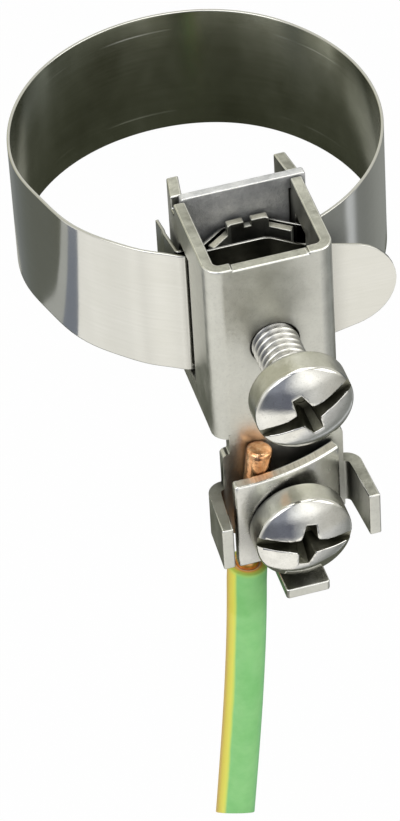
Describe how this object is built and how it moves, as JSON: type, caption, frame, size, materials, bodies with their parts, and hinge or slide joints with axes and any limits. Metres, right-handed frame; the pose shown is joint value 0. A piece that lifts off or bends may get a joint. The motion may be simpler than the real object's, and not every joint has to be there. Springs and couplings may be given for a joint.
{
  "type": "earthing pipe clamp",
  "caption": "Band earthing clamp for a pipe, with a folded steel housing, tensioning screw and screw terminal holding a green and yellow wire.",
  "frame": {"origin": "on the axis of the strap's loop, half way up the strap, where the pipe's axis goes", "axes": "+Z along the pipe's axis, -Y from the pipe towards the housing and its screws"},
  "size_m": [0.0474, 0.0712, 0.0953],
  "materials": {
    "stamped_steel": "tumbled satin stainless steel",
    "strap_steel": "cold rolled stainless band, half bright",
    "screw_steel": "bright stainless steel",
    "washer_steel": "bright rolled stainless steel",
    "copper": "bare copper",
    "green_yellow_sheath": "green and yellow cable sheath"
  },
  "bodies": {
    "frame": {"housing": "stamped_steel", "back_plate": "stamped_steel", "strap": "strap_steel", "saddle": "stamped_steel", "conductor_core": "copper", "conductor_sheath": "green_yellow_sheath"},
    "tension_screw": {"tension_screw": "screw_steel"},
    "clamp_washer": {"clamp_washer": "washer_steel"},
    "clamp_screw": {"clamp_screw": "screw_steel"}
  },
  "joints": [
    {"name": "tension_screw_travel", "type": "slide", "parent": "frame", "child": "tension_screw", "axis": [0, -1, 0], "range_m": [0, 0.008]},
    {"name": "clamp_washer_travel", "type": "slide", "parent": "frame", "child": "clamp_washer", "axis": [0, -1, 0], "range_m": [0, 0.004]},
    {"name": "clamp_screw_turn", "type": "hinge", "parent": "clamp_washer", "child": "clamp_screw", "pos_m": [0.00035, -0.0334, -0.0242], "axis": [0, -1, 0], "range_deg": [0, 1440]}
  ],
  "couplings": [
    {"joint": "clamp_screw_turn", "follows": "clamp_washer_travel", "rad_per_m": 6283.2}
  ]
}
